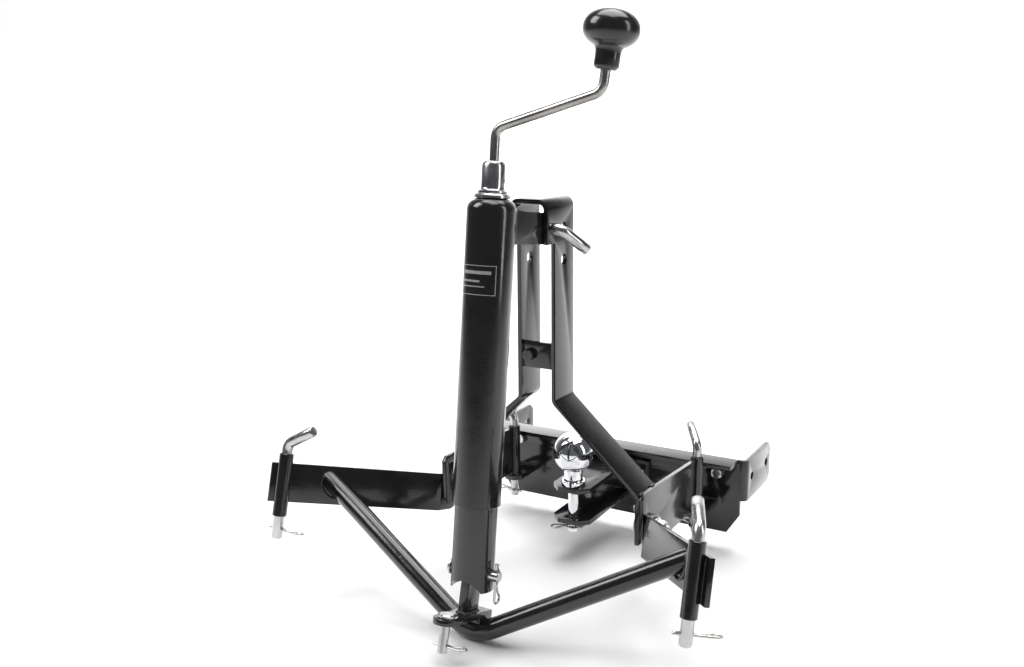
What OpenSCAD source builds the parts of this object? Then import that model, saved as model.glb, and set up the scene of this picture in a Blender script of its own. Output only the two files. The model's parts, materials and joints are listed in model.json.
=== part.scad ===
// Rear lift hitch for a ride-on mower: beam bracket, mast, crank jack, lifting frame and tow ball.
// Millimetres, +Z up, +Y towards the mower, -Y towards whoever stands behind it, symmetric about X = 0.
// The origin is the centre of the beam's rear face. The lifting frame is drawn partly raised.

/* [Beam] */
// Half the width over the two ears
beam_half = 181; // [160:1:210]
// Height of the web
web_h = 100; // [80:1:120]
// Forward depth of the top flange
flange_d = 37; // [25:1:50]
// Beam plate thickness
beam_t = 5; // [4:0.5:8]
// How far the ears reach back from the web
ear_l = 90; // [70:1:120]
// Distance between the two bolt holes of an ear
ear_pitch = 58; // [40:1:70]
// Radius of the ear bolt holes
ear_hole_r = 5.25; // [4:0.25:8]

/* [Mast] */
// Half the width over the two mast legs
mast_half = 24; // [22:0.5:30]
// Flat bar width of the mast
mast_w = 44; // [35:1:60]
// Flat bar thickness of the mast
mast_t = 5; // [4:0.5:8]
// Height of the top of the mast over the origin
mast_top = 386.5; // [320:0.5:420]
// Height at which the legs start to spread
mast_knee = 158; // [120:1:200]
// Extra forward reach of the ears at the top
ear_reach = 16.5; // [10:0.5:30]

/* [Lifting frame] */
// How far the frame is raised over level
raise = 15.2; // [0:0.1:25]
// Flat bar height of the arms
arm_h = 45; // [35:1:60]
// Outward angle of the arms
splay = 39; // [25:0.5:50]
// Length of the splayed part of an arm
arm_l = 206; // [150:1:240]
// Outer diameter of the V tube
vee_d = 22; // [18:0.5:30]
// Depth of the V tube below the pivots
vee_drop = 130.4; // [100:0.1:150]

/* [Pins] */
// Radius of the front and mast hitch pins
pin_r = 6.35; // [5:0.05:8]
// Radius of the rear hitch pins
rear_pin_r = 5.55; // [4:0.05:7]
// Running clearance on the radius of a pin
pin_gap = 0.09; // [0.02:0.01:0.1]
// Length of the front sleeves
sleeve_l = 72; // [50:1:90]

/* [Jack] */
// Outer radius of the jack's outer tube
jack_r = 25.5; // [20:0.25:32]
// Length of the jack's outer tube
jack_l = 317; // [250:1:350]
// Lean of the jack from upright
jack_lean = 7.46; // [0:0.01:15]
// Radius from the jack's axis to the crank's grip
crank_reach = 116; // [90:1:150]
// Radius of the knob
knob_r = 27.5; // [20:0.5:35]

/* [Tow ball] */
// Radius of the ball
ball_r = 25; // [23:0.1:30]
// Distance of the ball ahead of the beam's rear face
ball_reach = 123.3; // [90:0.1:150]

/* [Hidden] */
$fn = 64;

black = [0.05, 0.05, 0.055];
zinc = [0.72, 0.73, 0.74];
chrome = [0.85, 0.86, 0.88];

bend_in = 3;                      // inside radius of the folded plate
bend_out = bend_in + beam_t;      // outside radius of the folded plate
fold_x = beam_half - bend_out;    // where an ear starts to fold
flange_half = 170;                // half the length of the flange
ear_low = -5;                     // lower edge of an ear
ear_top = 48;                     // upper edge of an ear
ear_hole_z = 24;                  // height of the ear holes
ear_hole_y = 15;                  // first ear hole
corner_x = 16;                    // cut-off lower corner of the web
corner_z = 25;

mast_y0 = -215;                   // front edge of the mast's legs
ear_z = 338;                      // lower end of the mast's deeper top
foot_x = 125;                     // middle of a foot's thickness
foot_z = 8;                       // lower end of a foot
foot_bend_z = 63.4;               // where the spread leg turns down
leg_x = mast_half - mast_t / 2;
piv_y = -193;                     // pitch pivot of the lifting frame
piv_z = 24;
pm_y = -219;                      // pin at the top of the mast
pm_z = 354;
spare_y = -194;                   // spare holes of the mast
spare_z = [353, 317.5];
brace_z = 195;                    // lower edge of the brace
brace_h = 30;
brace_y = -213;                   // front face of the brace
brace_t = 5;
brace_bolt_x = -10;
brace_bolt_z = 210;

sleeve_r = 8.3;                   // outer radius of a front sleeve
rear_sleeve_r = 7.75;
rear_x = 130;                     // axis of a rear pin
rear_y = -flange_d - rear_sleeve_r;
rear_low = -8;                    // ends of a rear sleeve
rear_top = 60;
tab_t = 6;

side_x = foot_x + mast_t / 2;     // inner face of a side plate
side_t = 5;
arm_t = 5;
arm_gap = 1;                      // washer between side plate and arm
arm_x = side_x + side_t + arm_gap + arm_t / 2;
arm_mid = -8;                     // middle of an arm's height, from the pivot
arm_bend = -23;                   // where the arm turns outward, from the pivot
pivot_r = 6;
sleeve_along = 192;               // place of a front sleeve along the splayed arm
sleeve_mid = -9;
sleeve_x = arm_x + sleeve_along * sin(splay) - (arm_t / 2 + sleeve_r) * cos(splay);
sleeve_y = arm_bend - sleeve_along * cos(splay) - (arm_t / 2 + sleeve_r) * sin(splay);
front_low = -71;                  // lower end of a front pin

jk_y = -304.6;                    // top of the jack's tube, on its axis
jk_z = 394;
lower_pin = -389.3;               // lower pin, along the jack's axis
upper_y = 90;                     // upper pin, in the jack's own frame
upper_z = -28.5;
wall = 2.75;
bore_r = jack_r - wall;
ram_r = bore_r - 0.08;
ram_in = 20.2;
ram_top = -107;
ram_low = lower_pin - 18;
clevis_r = 6;
screw_r = 9;
lug_y = -152.6;                   // lower pin, from the pivot, in the frame's own directions
lug_z = -58;
lug_half = 5;
lug_r = 12.5;
tongue_low = -107;
tongue_t = 6;
tongue_r = 13.5;
tongue_end = -124;                // rear end of the tongue plate
tongue_pin_y = -194;
tongue_pin_r = 5;
vee_y = -127;
vee_top = -5;
vee_tilt = 3.8;
crank_r = 5;
crank_z1 = 70;
crank_z2 = 105;
grip_lean = 5;
wire_r = 1.25;

lap = 0.25;                       // how far a bend runs into the straights beside it
swell = 0.05;                     // how much thicker a bend is than the straights

bb_half = 25;                     // half width of the ball bracket
bb_t = 6;
bb_top = 26;
bb_low = -21;
bb_front = -140;
bb_base = 52;
bolt_x = 40;
bolt_zs = [-38, 13];

function ang(v) = atan2(v[1], v[0]);
function wrap(a) = a > 180 ? a - 360 : (a < -180 ? a + 360 : a);
function turn(p, i) = wrap(ang(p[i + 1] - p[i]) - ang(p[i] - p[i - 1]));
function unit(v) = v / norm(v);
function cut(p, i, rc) = (i == 0 || i == len(p) - 1) ? 0 : rc * tan(abs(turn(p, i)) / 2);

// Places its child at every bend of the path p, as an arc of radius rc about +Z. A bend swells
// by a hair and runs a hair past its ends, so that it laps the straights.
module arcs(p, rc) {
    e = lap / rc * 57.3;
    for (i = [1 : len(p) - 2]) {
        a = turn(p, i);
        s = sign(a);
        d = unit(p[i] - p[i - 1]);
        c = p[i] - d * cut(p, i, rc) + s * rc * [-d[1], d[0]];
        a0 = ang(d) - s * 90;
        translate([c[0], c[1], 0])
            rotate([0, 0, (s > 0 ? a0 : a0 + a) - e])
                rotate_extrude(angle = abs(a) + 2 * e)
                    children();
    }
}

// Flat bar bent along the path p: t thick, w wide along +Z.
module bar(p, t, w, rc) {
    for (i = [0 : len(p) - 2]) {
        d = p[i + 1] - p[i];
        l = norm(d) - cut(p, i, rc) - cut(p, i + 1, rc);
        translate([p[i][0], p[i][1], 0])
            rotate([0, 0, ang(d)])
                translate([cut(p, i, rc), -t / 2, 0])
                    cube([l, t, w]);
    }
    arcs(p, rc) translate([rc - t / 2 - swell, -swell]) square([t + 2 * swell, w + 2 * swell]);
}

// Round bar bent along the path p.
module rod(p, r, rc) {
    for (i = [0 : len(p) - 2]) {
        d = p[i + 1] - p[i];
        l = norm(d) - cut(p, i, rc) - cut(p, i + 1, rc);
        translate([p[i][0], p[i][1], 0])
            rotate([0, 0, ang(d)])
                rotate([0, 90, 0])
                    translate([0, 0, cut(p, i, rc)])
                        cylinder(r = r, h = l);
    }
    arcs(p, rc) translate([rc, 0]) circle(r = r + swell);
}

// Turns a path drawn in X and Y into one drawn in X and Z, its width going back along +Y.
module upright(y) {
    translate([0, y, 0]) rotate([90, 0, 0]) mirror([0, 0, 1]) children();
}

// Cylinder along +X.
module xcyl(r, x0, x1, y, z) {
    translate([x0, y, z]) rotate([0, 90, 0]) cylinder(r = r, h = x1 - x0);
}

module hex(af, h) {
    cylinder(r = af / 2 / cos(30), h = h, $fn = 6);
}

// Hex bolt along -Z from its seat at z = 0, head above.
module bolt(r, af, hd, l) {
    union() {
        hex(af, hd);
        translate([0, 0, -l]) cylinder(r = r, h = l + 0.01);
    }
}

module nut(r, af, h) {
    difference() {
        hex(af, h);
        translate([0, 0, -1]) cylinder(r = r + 0.05, h = h + 2);
    }
}

// Bent hitch pin along Z. Its head leans over towards +X; hole_z takes the clip, turned by hole_a.
module hitch_pin(r, low, bend_z, a, head, hole_z, hole_a = 0) {
    rb = 2.1 * r;
    tl = rb * tan(a / 2);
    far = [(tl + head - 1.5) * sin(a), bend_z + tl + (tl + head - 1.5) * cos(a)];
    difference() {
        union() {
            rotate([90, 0, 0]) rod([[0, low + 2], [0, bend_z + tl], far], r, rb);
            translate([0, 0, low]) cylinder(r1 = r - 1.6, r2 = r - 0.08, h = 2.2);
            translate([far[0], 0, far[1]])
                rotate([0, a, 0])
                    translate([0, 0, -0.2]) cylinder(r1 = r - 0.08, r2 = r - 1.3, h = 1.7);
        }
        translate([0, 0, hole_z])
            rotate([0, 0, hole_a])
                translate([-r - 2, 0, 0]) rotate([0, 90, 0]) cylinder(r = wire_r + 0.35, h = 2 * r + 4);
    }
}

// Spring clip in the XY plane: one leg runs along +X through a pin on Z, the other rides over it.
module clip(r, l) {
    q = 4.6;
    rod([[-r - 7, 0], [l + q, 0], [l + q, 2 * q + 0.6], [l - 1.6 * q, 2 * q + 0.6],
         [r + 4, 3.2], [-0.5, r + 4.2], [-r - 7, r - 0.4]], wire_r, 4);
}

// ---------------------------------------------------------------- beam
module beam_corner(s) {
    // sheet left of the end strip, folded back into the ear
    mirror([s < 0 ? 1 : 0, 0, 0]) {
        translate([flange_half - 1, -beam_t, -web_h / 2 + corner_z])
            cube([fold_x - flange_half + 1, beam_t, ear_top + web_h / 2 - corner_z]);
        translate([fold_x, bend_in, ear_low])
            rotate([0, 0, -90])
                rotate_extrude(angle = 90)
                    translate([bend_in, 0]) square([beam_t, ear_top - ear_low]);
        translate([beam_half - beam_t, bend_in, ear_low])
            cube([beam_t, ear_l - bend_in - 12, ear_top - ear_low]);
        translate([beam_half - beam_t, 0, 0])
            rotate([90, 0, 90])
                linear_extrude(beam_t)
                    polygon([[ear_l - 13, ear_low], [ear_l - 8, ear_low], [ear_l, ear_low + 8],
                             [ear_l, ear_top - 8], [ear_l - 8, ear_top], [ear_l - 13, ear_top]]);
    }
}

module mower_beam() {
    color(black)
    difference() {
        union() {
            translate([0, 0, 0])
                rotate([90, 0, 0])
                    linear_extrude(beam_t)
                        polygon([[-fold_x, web_h / 2 - 14], [-fold_x, -web_h / 2 + corner_z],
                                 [-fold_x + corner_x, -web_h / 2], [fold_x - corner_x, -web_h / 2],
                                 [fold_x, -web_h / 2 + corner_z], [fold_x, web_h / 2 - 14]]);
            translate([-flange_half, -beam_t, web_h / 2 - 15])
                cube([2 * flange_half, beam_t, 15 - bend_out]);
            translate([-flange_half, -bend_out, web_h / 2 - bend_out])
                rotate([90, 0, 90])
                    rotate_extrude(angle = 90)
                        translate([bend_in, 0]) square([beam_t, 2 * flange_half]);
            translate([-flange_half, -flange_d, web_h / 2 - beam_t])
                cube([2 * flange_half, flange_d - bend_out, beam_t]);
            for (s = [-1, 1]) beam_corner(s);
        }
        for (s = [-1, 1])
            for (y = [ear_hole_y, ear_hole_y + ear_pitch])
                xcyl(ear_hole_r, s * beam_half - 10, s * beam_half + 10, y, ear_hole_z);
        for (s = [-1, 1]) {
            translate([s * 143, 1, 28]) rotate([90, 0, 0]) cylinder(r = 4.5, h = beam_t + 2);
            for (z = bolt_zs)
                translate([s * bolt_x, 1, z]) rotate([90, 0, 0]) cylinder(r = 4.5, h = beam_t + 2);
        }
    }
}

module beam_bolts() {
    color(zinc)
    for (s = [-1, 1])
        translate([s * 143, -beam_t, 28]) rotate([90, 0, 0]) bolt(4, 13, 5.3, 16);
}

module beam_nuts() {
    color(zinc)
    for (s = [-1, 1])
        translate([s * 143, 0, 28]) rotate([-90, 0, 0]) nut(4, 13, 6.5);
}

module pin_tabs() {
    color(black)
    for (s = [-1, 1])
        difference() {
            translate([s * rear_x, 0, rear_low - tab_t])
                linear_extrude(tab_t)
                    polygon([[-14, -beam_t], [14, -beam_t], [14, rear_y - 6], [6, rear_y - 14],
                             [-6, rear_y - 14], [-14, rear_y - 6]]);
            translate([s * rear_x, rear_y, rear_low - tab_t - 1])
                cylinder(r = rear_pin_r + pin_gap, h = tab_t + 2);
        }
}

module rear_sleeve(s) {
    translate([s * rear_x, rear_y, rear_low])
        difference() {
            cylinder(r = rear_sleeve_r, h = rear_top - rear_low);
            translate([0, 0, -1]) cylinder(r = rear_pin_r + pin_gap, h = rear_top - rear_low + 2);
        }
}

module rear_sleeve_left() { color(black) rear_sleeve(-1); }

module rear_sleeve_right() { color(black) rear_sleeve(1); }

// ---------------------------------------------------------------- mast
module side_plate(s) {
    yr = rear_y - rear_sleeve_r;
    x0 = s > 0 ? side_x : -side_x - side_t;
    difference() {
        translate([x0, 0, 0])
            rotate([90, 0, 90])
                linear_extrude(side_t)
                    polygon([[mast_y0, foot_z + 8], [mast_y0, 62], [mast_y0 + 6, 67], [-190, 67],
                             [yr, 58], [yr, -4], [-165, -4], [-178, foot_z - 6],
                             [mast_y0 + 10, foot_z - 2]]);
        xcyl(pivot_r + 0.2, x0 - 1, x0 + side_t + 1, piv_y, piv_z);
    }
}

module side_plate_left() { color(black) side_plate(-1); }

module side_plate_right() { color(black) side_plate(1); }

module mast_hoop() {
    color(black)
    difference() {
        union() {
            for (m = [0, 1])
                mirror([m, 0, 0])
                    upright(mast_y0)
                        bar([[leg_x, ear_z + 1], [leg_x, mast_knee], [foot_x, foot_bend_z],
                             [foot_x, foot_z]], mast_t, mast_w, 9);
            upright(mast_y0 - ear_reach)
                bar([[-leg_x, ear_z], [-leg_x, mast_top - mast_t / 2], [leg_x, mast_top - mast_t / 2],
                     [leg_x, ear_z]], mast_t, ear_reach + mast_w, 9);
        }
        xcyl(pin_r + pin_gap, -mast_half - 1, mast_half + 1, pm_y, pm_z);
        for (z = spare_z)
            xcyl(pin_r + pin_gap, -mast_half - 1, mast_half + 1, spare_y, z);
        for (s = [-1, 1])
            xcyl(pivot_r + 0.2, s * foot_x - 5, s * foot_x + 5, piv_y, piv_z);
    }
}

module mast_brace() {
    in = mast_half - mast_t;
    color(black)
    difference() {
        translate([-in, brace_y, brace_z]) cube([2 * in, brace_t, brace_h]);
        translate([brace_bolt_x, brace_y - 1, brace_bolt_z]) rotate([-90, 0, 0]) cylinder(r = 4.5, h = brace_t + 2);
    }
}

module brace_bolt() {
    color(black)
    translate([brace_bolt_x, brace_y, brace_bolt_z]) rotate([90, 0, 0]) bolt(4, 13, 5.3, 16);
}

module brace_nut() {
    color(black)
    translate([brace_bolt_x, brace_y + brace_t, brace_bolt_z]) rotate([-90, 0, 0]) nut(4, 13, 6.5);
}

module pivot_bolts() {
    color(zinc)
    for (s = [-1, 1])
        translate([s * (foot_x - mast_t / 2), piv_y, piv_z])
            rotate([0, -s * 90, 0])
                bolt(pivot_r, 18, 7.5, 31);
}

module pivot_washers() {
    color(zinc)
    for (s = [-1, 1])
        for (x = [side_x + side_t + 0.05, arm_x + arm_t / 2 + 0.3])
            difference() {
                xcyl(12, s > 0 ? x : -x - (x > arm_x ? 2 : 0.9), s > 0 ? x + (x > arm_x ? 2 : 0.9) : -x,
                     piv_y, piv_z);
                xcyl(pivot_r + 0.3, s * x - 6, s * x + 6, piv_y, piv_z);
            }
}

module pivot_nuts() {
    color(zinc)
    for (s = [-1, 1])
        translate([s * (arm_x + arm_t / 2 + 2.3), piv_y, piv_z])
            rotate([0, s * 90, 0])
                nut(pivot_r, 18, 9);
}

// ---------------------------------------------------------------- tow ball
module ball_bracket() {
    color(black)
    difference() {
        union() {
            for (z = [bb_top - bb_t, bb_low])
                translate([0, 0, z])
                    linear_extrude(bb_t)
                        polygon([[-bb_half, -beam_t - bb_t + 1], [-bb_half, bb_front + 12],
                                 [-bb_half + 12, bb_front], [bb_half - 12, bb_front],
                                 [bb_half, bb_front + 12], [bb_half, -beam_t - bb_t + 1]]);
            translate([-bb_base, -beam_t - bb_t, -46])
                cube([2 * bb_base, bb_t, 74]);
        }
        translate([0, -ball_reach, -60]) cylinder(r = pin_r + pin_gap, h = 120);
        for (s = [-1, 1])
            for (z = bolt_zs)
                translate([s * bolt_x, 1, z]) rotate([90, 0, 0]) cylinder(r = 4.5, h = 20);
    }
}

module bracket_bolts() {
    color(zinc)
    for (s = [-1, 1])
        for (z = bolt_zs)
            translate([s * bolt_x, -beam_t - bb_t, z]) rotate([90, 0, 0]) bolt(4, 13, 5.3, 22);
}

module bracket_nuts() {
    color(zinc)
    for (s = [-1, 1])
        for (z = bolt_zs)
            translate([s * bolt_x, 0, z]) rotate([-90, 0, 0]) nut(4, 13, 6.5);
}

module tow_ball() {
    zc = 67.4;
    color(chrome)
    translate([0, -ball_reach, 0])
    difference() {
        union() {
            intersection() {
                translate([0, 0, zc]) sphere(r = ball_r);
                translate([-40, -40, zc - ball_r + 2]) cube([80, 80, 2 * ball_r - 4]);
            }
            translate([0, 0, bb_top + 6]) cylinder(r = 11.5, h = zc - ball_r - bb_top);
            translate([0, 0, bb_top]) cylinder(r = 15, h = 6.01);
            translate([0, 0, -36]) cylinder(r = pin_r, h = bb_top + 36.01);
        }
        translate([0, 0, -29])
            rotate([0, 0, 200])
                translate([-20, 0, 0]) rotate([0, 90, 0]) cylinder(r = wire_r + 0.35, h = 40);
    }
}

module ball_clip() {
    color(zinc)
    translate([0, -ball_reach, -29]) rotate([0, 0, 200]) clip(pin_r, 22);
}

// ---------------------------------------------------------------- rear and mast pins
module rear_pin(s, a) {
    translate([s * rear_x, rear_y, 0])
        rotate([0, 0, a])
            hitch_pin(rear_pin_r, -40, rear_top + 6, 62, 32, -32);
}

module rear_clip(s, a) {
    translate([s * rear_x, rear_y, -32]) rotate([0, 0, a]) clip(rear_pin_r, 23);
}

module rear_pin_left() { color(zinc) rear_pin(-1, 165); }

module rear_clip_left() { color(zinc) rear_clip(-1, 165); }

module rear_pin_right() { color(zinc) rear_pin(1, 127); }

module rear_clip_right() { color(zinc) rear_clip(1, 127); }

// The mast pin lies along X, its bent head outside the right ear and hanging down.
module at_mast_pin() {
    translate([0, pm_y, pm_z]) rotate([46, 0, 0]) rotate([0, 90, 0]) children();
}

module mast_pin() {
    color(zinc) at_mast_pin() hitch_pin(pin_r, -46, mast_half + 2, 62, 32, -38);
}

module mast_clip() {
    color(zinc) at_mast_pin() translate([0, 0, -38]) clip(pin_r, 24);
}

// ---------------------------------------------------------------- lifting frame
// The frame's own directions: level, from its pitch pivot.
module frame() {
    translate([0, piv_y, piv_z]) rotate([-raise, 0, 0]) children();
}

module arm(s) {
    mirror([s < 0 ? 1 : 0, 0, 0])
        difference() {
            union() {
                translate([0, 0, arm_mid - arm_h / 2])
                    bar([[arm_x, 0], [arm_x, arm_bend],
                         [arm_x + arm_l * sin(splay), arm_bend - arm_l * cos(splay)]],
                        arm_t, arm_h, 12);
                xcyl(arm_h / 2, arm_x - arm_t / 2, arm_x + arm_t / 2, 0, arm_mid);
            }
            xcyl(pivot_r + 0.08, arm_x - 10, arm_x + 10, 0, 0);
        }
}

module arm_left() { color(black) frame() arm(-1); }

module arm_right() { color(black) frame() arm(1); }

module front_sleeve(s) {
    translate([s * sleeve_x, sleeve_y, sleeve_mid - sleeve_l / 2])
        difference() {
            cylinder(r = sleeve_r, h = sleeve_l);
            translate([0, 0, -1]) cylinder(r = pin_r + pin_gap, h = sleeve_l + 2);
        }
}

module front_sleeve_left() { color(black) frame() front_sleeve(-1); }

module front_sleeve_right() { color(black) frame() front_sleeve(1); }

// Everything beyond the inner face of the right arm.
module beyond_arm() {
    translate([arm_x, arm_bend, -80])
        rotate([0, 0, -90 + splay])
            translate([-40, -arm_t / 2, 0])
                cube([arm_l + 60, 60, 160]);
}

module vee(r) {
    translate([0, vee_y, vee_top])
        rotate([-vee_tilt, 0, 0])
            rotate([90, 0, 0])
                rod([[-240, -vee_top + 8], [0, -vee_drop - vee_top], [240, -vee_top + 8]], r, 45);
}

module v_tube() {
    color(black)
    frame()
    difference() {
        vee(vee_d / 2);
        vee(vee_d / 2 - 2);
        beyond_arm();
        mirror([1, 0, 0]) beyond_arm();
        translate([-tongue_r, -230, tongue_low - 6]) cube([2 * tongue_r, 140, 6 + tongue_t]);
    }
}

module jack_lug() {
    color(black)
    frame()
    difference() {
        union() {
            translate([-lug_half, lug_y - lug_r, tongue_low + tongue_t])
                cube([2 * lug_half, 2 * lug_r, lug_z - tongue_low - tongue_t]);
            xcyl(lug_r, -lug_half, lug_half, lug_y, lug_z);
        }
        xcyl(clevis_r + 3, -lug_half - 1, lug_half + 1, lug_y, lug_z);
    }
}

module tongue_plate() {
    color(black)
    frame()
    difference() {
        union() {
            translate([-tongue_r, tongue_pin_y, tongue_low])
                cube([2 * tongue_r, tongue_end - tongue_pin_y, tongue_t]);
            // packing block between the plate and the V tube
            translate([-tongue_r, tongue_end - 24, tongue_low - 6])
                cube([2 * tongue_r, 24, 7]);
            translate([0, tongue_pin_y, tongue_low]) cylinder(r = tongue_r, h = tongue_t);
        }
        translate([0, tongue_pin_y, tongue_low - 1])
            cylinder(r = tongue_pin_r + 0.08, h = tongue_t + 2);
    }
}

module front_pin(s, a, clip_a) {
    translate([s * sleeve_x, sleeve_y, 0])
        rotate([0, 0, a])
            hitch_pin(pin_r, front_low, sleeve_mid + sleeve_l / 2 + 3, 62, 36, front_low + 11, clip_a - a);
}

module front_clip(s, a) {
    translate([s * sleeve_x, sleeve_y, front_low + 11]) rotate([0, 0, a]) clip(pin_r, 30);
}

module front_pin_left() { color(zinc) frame() front_pin(-1, -6, -6); }

module front_clip_left() { color(zinc) frame() front_clip(-1, -6); }

module front_pin_right() { color(zinc) frame() front_pin(1, 116, 34); }

module front_clip_right() { color(zinc) frame() front_clip(1, 34); }

module tongue_pin() {
    zt = tongue_low + tongue_t;
    color(zinc)
    frame()
    translate([0, tongue_pin_y, 0])
    difference() {
        union() {
            translate([0, 0, zt + 0.1]) cylinder(r = 9, h = 4);
            translate([0, 0, -137]) cylinder(r = tongue_pin_r, h = zt + 137.2);
        }
        translate([-20, 0, -130]) rotate([0, 90, 0]) cylinder(r = wire_r + 0.35, h = 40);
    }
}

module tongue_clip() {
    color(zinc)
    frame()
    translate([0, tongue_pin_y, -130]) clip(tongue_pin_r, 20);
}

// ---------------------------------------------------------------- jack
// The jack's own directions: +Z up its axis, from the top of the outer tube.
module jack() {
    translate([0, jk_y, jk_z]) rotate([-jack_lean, 0, 0]) children();
}

module jack_outer_tube() {
    sh = 12;
    color(black)
    jack()
    rotate_extrude()
        difference() {
            union() {
                translate([0, -jack_l]) square([jack_r, jack_l - sh]);
                translate([0, -sh - 1]) square([jack_r - sh, sh + 1]);
                translate([jack_r - sh, -sh]) circle(r = sh);
            }
            translate([0, -jack_l - 1]) square([bore_r, jack_l - 16]);
            translate([0, -40]) square([screw_r + 1.3, 60]);
        }
}

module jack_mount_lug() {
    h = 34;
    w = 36;
    color(black)
    jack()
    difference() {
        translate([-w / 2, 0, upper_z - h / 2]) cube([w, upper_y + 14, h]);
        translate([-w / 2 + 4, -1, upper_z - h / 2 + 4]) cube([w - 8, upper_y + 20, h - 8]);
        translate([0, 0, -100]) cylinder(r = jack_r, h = 200);
        xcyl(pin_r + pin_gap, -w, w, upper_y, upper_z);
    }
}

module jack_collar() {
    color(zinc)
    jack()
    difference() {
        union() {
            cylinder(r = 18.7, h = 3.2);
            translate([0, 0, 3.2]) cylinder(r1 = 18.7, r2 = 17.2, h = 1.6);
        }
        translate([0, 0, -1]) cylinder(r = screw_r + 1.3, h = 8);
    }
}

module thrust_bearing() {
    color(zinc)
    jack()
    for (z = [-20.6, -24.2, -27.8])
        difference() {
            translate([0, 0, z]) cylinder(r = 19, h = 3.4);
            translate([0, 0, z - 1]) cylinder(r = screw_r + 0.4, h = 6);
        }
}

module jack_inner_tube() {
    color(black)
    jack()
    difference() {
        translate([0, 0, ram_low]) cylinder(r = ram_r, h = ram_top - ram_low);
        translate([0, 0, ram_low - 1]) cylinder(r = ram_in, h = ram_top - ram_low + 2);
        // the lower end is hollowed front and back, which leaves two cheeks for the pin
        translate([0, 40, ram_low - 7]) rotate([90, 0, 0]) cylinder(r = 20, h = 80);
        xcyl(clevis_r + 0.06, -40, 40, 0, lower_pin);
    }
}

module jack_nut() {
    color(zinc)
    jack()
    translate([0, 0, ram_top - 30])
    difference() {
        cylinder(r = ram_in, h = 28);
        translate([0, 0, -1]) cylinder(r = screw_r + 0.35, h = 40);
    }
}

module clevis_pin() {
    color(zinc)
    jack()
    difference() {
        union() {
            xcyl(clevis_r, -ram_r - 1.2, 33, 0, lower_pin);
            xcyl(9, -ram_r - 4.6, -ram_r - 1, 0, lower_pin);
        }
        translate([28, 0, lower_pin - 20]) cylinder(r = wire_r + 0.35, h = 40);
    }
}

module clevis_clip() {
    color(zinc)
    jack()
    translate([28, 0, lower_pin]) rotate([0, 90, 0]) clip(clevis_r, 26);
}

module jack_screw() {
    color(zinc)
    jack()
    union() {
        translate([0, 0, -330]) cylinder(r = screw_r, h = 302);
        translate([0, 0, -34]) cylinder(r = 14, h = 6);
        translate([0, 0, -30]) cylinder(r = screw_r, h = 42);
    }
}

module jack_hub() {
    color(zinc)
    jack()
    difference() {
        union() {
            translate([0, 0, 5.1]) cylinder(r = 15.5, h = 2.6);
            translate([0, 0, 7.7]) cylinder(r1 = 15.5, r2 = 12.2, h = 2);
            translate([0, 0, 9.7]) cylinder(r = 12.2, h = 24.3);
            translate([0, 0, 34]) cylinder(r1 = 12.2, r2 = 9.8, h = 3);
        }
        translate([0, 0, 4]) cylinder(r = screw_r, h = 8);
        translate([0, 0, 12]) cylinder(r = crank_r, h = 30);
        translate([-20, 0, 18]) rotate([0, 90, 0]) cylinder(r = 2.5, h = 40);
    }
}

module hub_pin() {
    color(zinc)
    jack()
    translate([-12, 0, 18]) rotate([0, 90, 0])
        difference() {
            cylinder(r = 2.5, h = 24);
            translate([0, 0, -1]) cylinder(r = 1.4, h = 30);
        }
}

module crank_rod() {
    top = crank_z2 + 52;
    color(zinc)
    jack()
    difference() {
        rotate([90, 0, 0])
            rod([[0, 12], [0, crank_z1], [crank_reach, crank_z2],
                 [crank_reach + (top - crank_z2) * tan(grip_lean), top]], crank_r, 13);
        translate([-20, 0, 18]) rotate([0, 90, 0]) cylinder(r = 2.5, h = 40);
    }
}

// The grip's own directions, from where the knob starts.
module grip() {
    translate([crank_reach, 0, crank_z2])
        rotate([0, grip_lean, 0])
            translate([0, 0, 20])
                children();
}

module knob() {
    rb = 19;
    color(black)
    jack()
    grip()
    rotate_extrude()
        difference() {
            union() {
                polygon([[0, 0], [9.5, 0], [12.3, 3], [12.3, 16], [14.5, 26], [0, 26]]);
                intersection() {
                    translate([knob_r - rb, 38]) circle(r = rb);
                    square([knob_r, 60]);
                }
                translate([0, 22]) square([knob_r - rb, 16 + rb]);
            }
            translate([0, -1]) square([crank_r + 0.09, 35]);
        }
}

mower_beam();
beam_bolts();
beam_nuts();
pin_tabs();
rear_sleeve_left();
rear_sleeve_right();
side_plate_left();
side_plate_right();
mast_hoop();
mast_brace();
brace_bolt();
brace_nut();
ball_bracket();
bracket_bolts();
bracket_nuts();
tow_ball();
ball_clip();
pivot_bolts();
pivot_washers();
pivot_nuts();
rear_pin_left();
rear_clip_left();
rear_pin_right();
rear_clip_right();
mast_pin();
mast_clip();
arm_left();
arm_right();
front_sleeve_left();
front_sleeve_right();
v_tube();
jack_lug();
tongue_plate();
front_pin_left();
front_clip_left();
front_pin_right();
front_clip_right();
tongue_pin();
tongue_clip();
jack_outer_tube();
jack_mount_lug();
jack_collar();
thrust_bearing();
jack_inner_tube();
jack_nut();
clevis_pin();
clevis_clip();
jack_screw();
jack_hub();
hub_pin();
crank_rod();
knob();
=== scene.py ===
import bpy
import bmesh
import json
import math
import random
from mathutils import Matrix, Vector

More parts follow.
